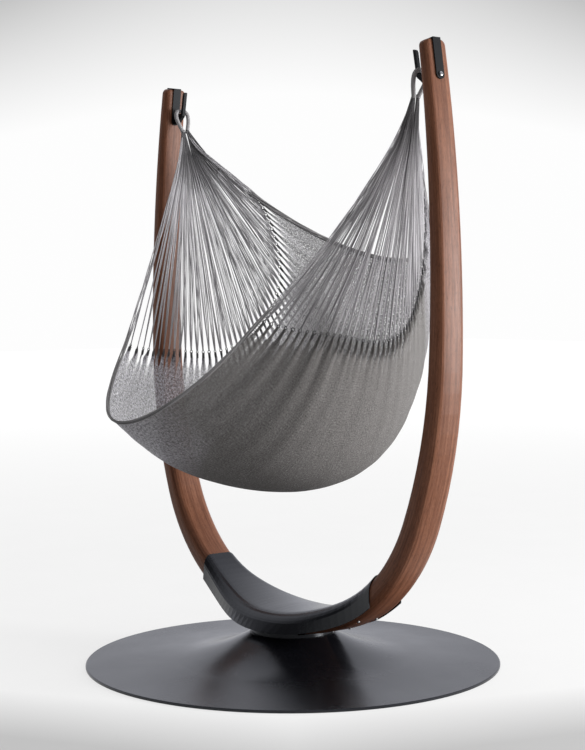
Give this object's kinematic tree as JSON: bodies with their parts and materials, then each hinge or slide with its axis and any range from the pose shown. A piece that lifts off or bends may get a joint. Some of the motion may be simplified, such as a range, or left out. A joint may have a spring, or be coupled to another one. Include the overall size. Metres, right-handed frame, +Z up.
{
  "type": "hammock on stand",
  "caption": "Free-standing hammock: a cloth bed with string fans hung by rope loops between the tips of a bent wooden U, which swivels on a round weighted metal base.",
  "frame": {"origin": "On the floor under the centre of the round base, at the bottom of its rubber pads.", "axes": "+Z up. X runs through both arms of the wooden U: the right arm is at +X and the left arm at -X. -Y is the open front of the hammock, and +Y is its high back."},
  "size_m": [1.573, 1.4, 2.0098],
  "materials": {
    "black_metal": "satin black powder coat",
    "hook_metal": "satin black coat on bent and machined steel",
    "ballast_steel": "rolled plate",
    "bearing_steel": "ground",
    "bolt_steel": "plain stainless",
    "brass": "turned",
    "rubber": "matte",
    "wood": "red-brown laminated timber, satin oil, fine lengthwise grain",
    "rope": "off-white sleeved and gathered cord",
    "string": "off-white twisted string",
    "cloth": "thin plain weave, lilac grey, translucent",
    "edge_cord": "rolled hem over a cord"
  },
  "bodies": {
    "base": {"base_disc": "black_metal", "floor_plate": "ballast_steel", "floor_pads": "rubber", "hub_post": "black_metal", "hub_ribs": "black_metal", "bearing_lower_race": "bearing_steel", "bearing_cage": "brass", "bearing_balls": "bearing_steel", "spindle_bush": "brass", "dust_seal": "rubber"},
    "frame": {"bearing_upper_race": "bearing_steel", "swivel_hub": "black_metal", "spindle": "bearing_steel", "retaining_washer": "bearing_steel", "retaining_nut": "bearing_steel", "hub_bolts": "bolt_steel", "threaded_inserts": "brass", "cradle": "black_metal", "cradle_screws": "bolt_steel", "cradle_nuts": "bolt_steel", "arm_left": "wood", "arm_right": "wood", "hook_left": "hook_metal", "hook_right": "hook_metal", "hook_bolt_left": "bolt_steel", "hook_bolt_right": "bolt_steel"},
    "hammock": {"rope_loop_left": "rope", "rope_loop_right": "rope", "gather_left": "rope", "gather_right": "rope", "fan_left": "string", "fan_right": "string", "bed": "cloth", "front_edge_rope": "edge_cord", "back_edge_rope": "edge_cord"}
  },
  "joints": [
    {"name": "swivel", "type": "hinge", "parent": "base", "child": "frame", "pos_m": [0, 0, 0.094], "axis": [0, 0, 1], "continuous": true},
    {"name": "swing", "type": "hinge", "parent": "frame", "child": "hammock", "pos_m": [0, 0, 1.918], "axis": [1, 0, 0], "range_deg": [-20, 20]}
  ]
}
